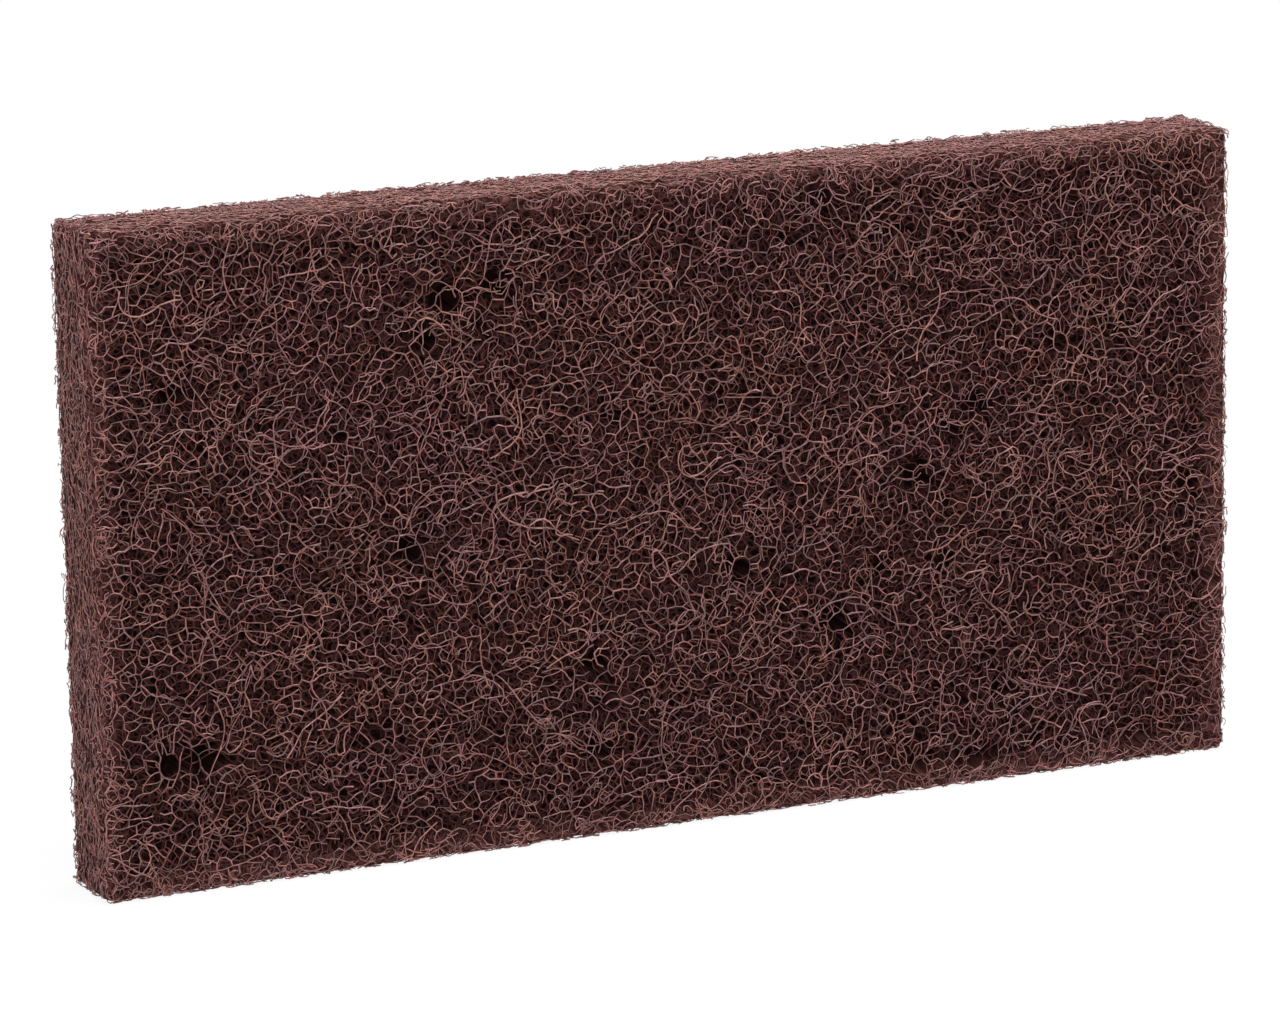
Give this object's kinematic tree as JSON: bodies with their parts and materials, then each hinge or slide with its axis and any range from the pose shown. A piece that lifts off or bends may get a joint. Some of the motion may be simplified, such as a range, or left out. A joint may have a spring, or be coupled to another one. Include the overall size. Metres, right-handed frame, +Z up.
{
  "type": "scouring pad",
  "caption": "Rectangular block of open, resin-bonded nylon fibre web for heavy scrubbing, standing on one long cut edge.",
  "frame": {"origin": "middle of the long cut edge that the pad stands on", "axes": "+X along the length, +Y from the front large face to the back large face, +Z up along the width of the pad"},
  "size_m": [0.254, 0.019, 0.1345],
  "materials": {
    "nylon_web": "crimped nylon fibres coated with a dark maroon-brown resin, open and slightly shiny where the resin has pooled"
  },
  "bodies": {
    "root": {"scouring_pad": "nylon_web"}
  },
  "joints": []
}
